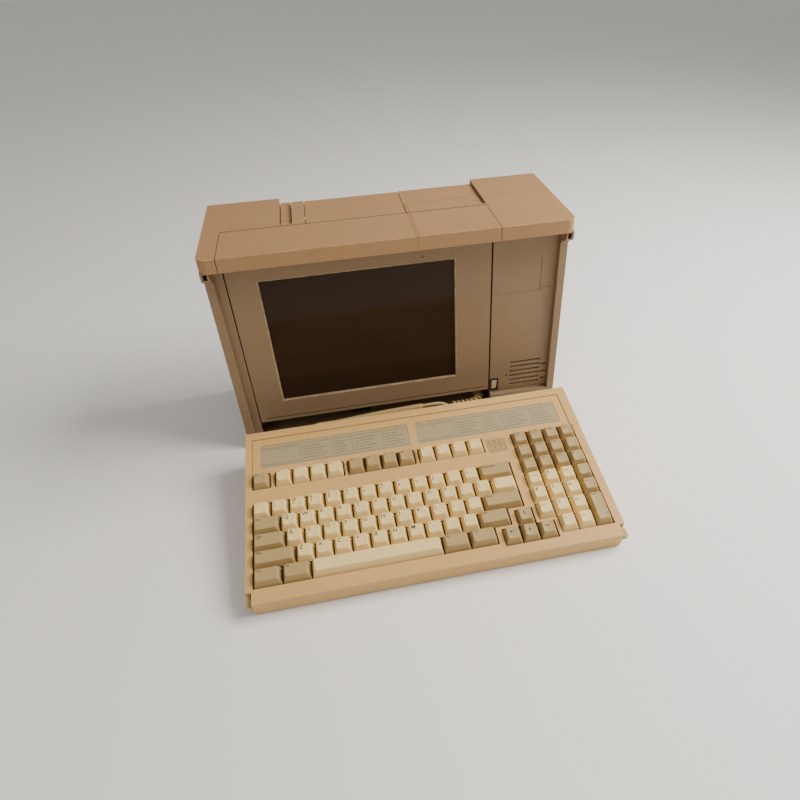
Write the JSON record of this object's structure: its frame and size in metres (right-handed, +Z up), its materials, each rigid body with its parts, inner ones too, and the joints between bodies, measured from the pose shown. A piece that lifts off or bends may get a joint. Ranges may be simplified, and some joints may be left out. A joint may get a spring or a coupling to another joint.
{
  "type": "luggable computer",
  "caption": "Luggable computer: upright case with a display that lifts and tilts on an arm, a folding carry handle and a separate keyboard on a curly cord.",
  "frame": {"origin": "centre of the footprint, at the table under the feet", "axes": "+X to the user's right, +Y towards the back of the case, +Z up"},
  "size_m": [0.404, 0.3804, 0.273],
  "materials": {
    "case_plastic": "fine textured moulding, warm tan",
    "case_dark": "textured moulding, shaded tan",
    "cover_plastic": "fine textured moulding, warm tan",
    "black_plastic": "satin black moulding",
    "cream_plastic": "fine textured cream moulding",
    "cream_cap": "matt cream key cap",
    "tan_cap": "matt tan key cap",
    "zinc": "zinc plated sheet",
    "steel": "ground steel",
    "board": "glass fibre circuit board",
    "drive_metal": "cast housing",
    "rubber": "matt black rubber",
    "screen": "dark filter glass",
    "plasma": "dark display panel",
    "label": "grey green printed strip",
    "cord": "cream cord jacket"
  },
  "bodies": {
    "case": {"base_tray": "case_dark", "left_side_shell": "case_plastic", "right_side_shell": "case_plastic", "rear_cover": "case_plastic", "top_cover": "cover_plastic", "bay_bulkhead": "zinc", "bay_divider": "zinc", "front_panel": "case_plastic", "switch_frame": "black_plastic", "loudspeaker": "black_plastic", "power_supply": "zinc", "main_board": "board", "expansion_card": "board", "hard_drive": "drive_metal", "floppy_drive": "drive_metal", "mains_inlet": "black_plastic", "port_plate": "steel", "keyboard_socket": "black_plastic", "case_feet": "rubber", "case_screws": "steel", "hinge_frame": "steel", "lift_pin": "steel", "handle_pins": "steel", "cord_lead": "cord", "cord_coil": "cord", "cord_plug": "black_plastic"},
    "rocker": {"power_rocker": "cream_cap"},
    "eject": {"eject_button": "cream_cap"},
    "handle": {"carry_handle": "case_dark", "handle_grip": "rubber"},
    "arm": {"lift_arm": "cover_plastic", "tilt_pin": "steel"},
    "display": {"display_cap": "cover_plastic", "display_bezel": "case_plastic", "display_window": "screen", "display_panel": "plasma", "display_board": "board", "display_back": "case_plastic", "display_screws": "steel"},
    "keyboard": {"keyboard_top": "cream_plastic", "keyboard_base": "cream_plastic", "key_switches": "black_plastic", "keyboard_board": "board", "label_strips": "label", "lamp_plate": "cream_plastic", "keyboard_feet": "rubber", "cord_relief": "cream_plastic"},
    "latch_left": {"keyboard_latch_left": "cream_plastic"},
    "latch_right": {"keyboard_latch_right": "cream_plastic"},
    "foot_left": {"tilt_foot_left": "cream_plastic"},
    "foot_right": {"tilt_foot_right": "cream_plastic"},
    "function_group": {"function_keys": "cream_cap"},
    "number_row_group": {"number_row_keys": "cream_cap"},
    "letter_group": {"letter_keys": "cream_cap"},
    "modifier_group": {"modifier_keys": "tan_cap"},
    "enter_cap": {"enter_key": "tan_cap"},
    "space_cap": {"space_bar": "cream_cap"},
    "arrow_group": {"arrow_keys": "tan_cap"},
    "numpad_group": {"numpad_keys": "cream_cap"},
    "control_pad_group": {"control_pad_keys": "tan_cap"}
  },
  "joints": [
    {"name": "power_switch_rock", "type": "hinge", "parent": "case", "child": "rocker", "pos_m": [0.1214, 0.0672, 0.0407], "axis": [-1, 0, 0], "range_deg": [0, 12]},
    {"name": "eject_push", "type": "slide", "parent": "case", "child": "eject", "axis": [-1, 0, 0], "range_m": [0, 0.003], "stiffness_N_per_m": 400, "springref_m": -0.002},
    {"name": "handle_swing", "type": "hinge", "parent": "case", "child": "handle", "pos_m": [0, 0.117, 0.263], "axis": [1, 0, 0], "range_deg": [0, 95]},
    {"name": "display_lift", "type": "hinge", "parent": "case", "child": "arm", "pos_m": [0, 0.16, 0.262], "axis": [-1, 0, 0], "range_deg": [0, 10]},
    {"name": "display_tilt", "type": "hinge", "parent": "arm", "child": "display", "pos_m": [0, 0.11, 0.266], "axis": [-1, 0, 0], "range_deg": [-4, 8]},
    {"name": "keyboard_draw_away", "type": "slide", "parent": "case", "child": "keyboard", "axis": [0, -1, 0], "range_m": [0, 0.1]},
    {"name": "latch_left_slide", "type": "slide", "parent": "keyboard", "child": "latch_left", "axis": [0, 0.9848, 0.1736], "range_m": [0, 0.0033], "stiffness_N_per_m": 300, "springref_m": -0.002},
    {"name": "latch_right_slide", "type": "slide", "parent": "keyboard", "child": "latch_right", "axis": [0, 0.9848, 0.1736], "range_m": [0, 0.0033], "stiffness_N_per_m": 300, "springref_m": -0.002},
    {"name": "foot_left_fold", "type": "hinge", "parent": "keyboard", "child": "foot_left", "pos_m": [-0.15, 0.00089, 0.0212], "axis": [-1, 0, 0], "range_deg": [0, 80]},
    {"name": "foot_right_fold", "type": "hinge", "parent": "keyboard", "child": "foot_right", "pos_m": [0.15, 0.00089, 0.0212], "axis": [-1, 0, 0], "range_deg": [0, 80]},
    {"name": "function_press", "type": "slide", "parent": "keyboard", "child": "function_group", "axis": [0, 0.1736, -0.9848], "range_m": [0, 0.0033], "stiffness_N_per_m": 900, "springref_m": -0.002},
    {"name": "number_row_press", "type": "slide", "parent": "keyboard", "child": "number_row_group", "axis": [0, 0.1736, -0.9848], "range_m": [0, 0.0033], "stiffness_N_per_m": 900, "springref_m": -0.002},
    {"name": "letter_press", "type": "slide", "parent": "keyboard", "child": "letter_group", "axis": [0, 0.1736, -0.9848], "range_m": [0, 0.0033], "stiffness_N_per_m": 900, "springref_m": -0.002},
    {"name": "modifier_press", "type": "slide", "parent": "keyboard", "child": "modifier_group", "axis": [0, 0.1736, -0.9848], "range_m": [0, 0.0033], "stiffness_N_per_m": 900, "springref_m": -0.002},
    {"name": "enter_press", "type": "slide", "parent": "keyboard", "child": "enter_cap", "axis": [0, 0.1736, -0.9848], "range_m": [0, 0.0033], "stiffness_N_per_m": 900, "springref_m": -0.002},
    {"name": "space_bar_press", "type": "slide", "parent": "keyboard", "child": "space_cap", "axis": [0, 0.1736, -0.9848], "range_m": [0, 0.0033], "stiffness_N_per_m": 900, "springref_m": -0.002},
    {"name": "arrow_press", "type": "slide", "parent": "keyboard", "child": "arrow_group", "axis": [0, 0.1736, -0.9848], "range_m": [0, 0.0033], "stiffness_N_per_m": 900, "springref_m": -0.002},
    {"name": "numpad_press", "type": "slide", "parent": "keyboard", "child": "numpad_group", "axis": [0, 0.1736, -0.9848], "range_m": [0, 0.0033], "stiffness_N_per_m": 900, "springref_m": -0.002},
    {"name": "control_pad_press", "type": "slide", "parent": "keyboard", "child": "control_pad_group", "axis": [0, 0.1736, -0.9848], "range_m": [0, 0.0033], "stiffness_N_per_m": 900, "springref_m": -0.002}
  ]
}
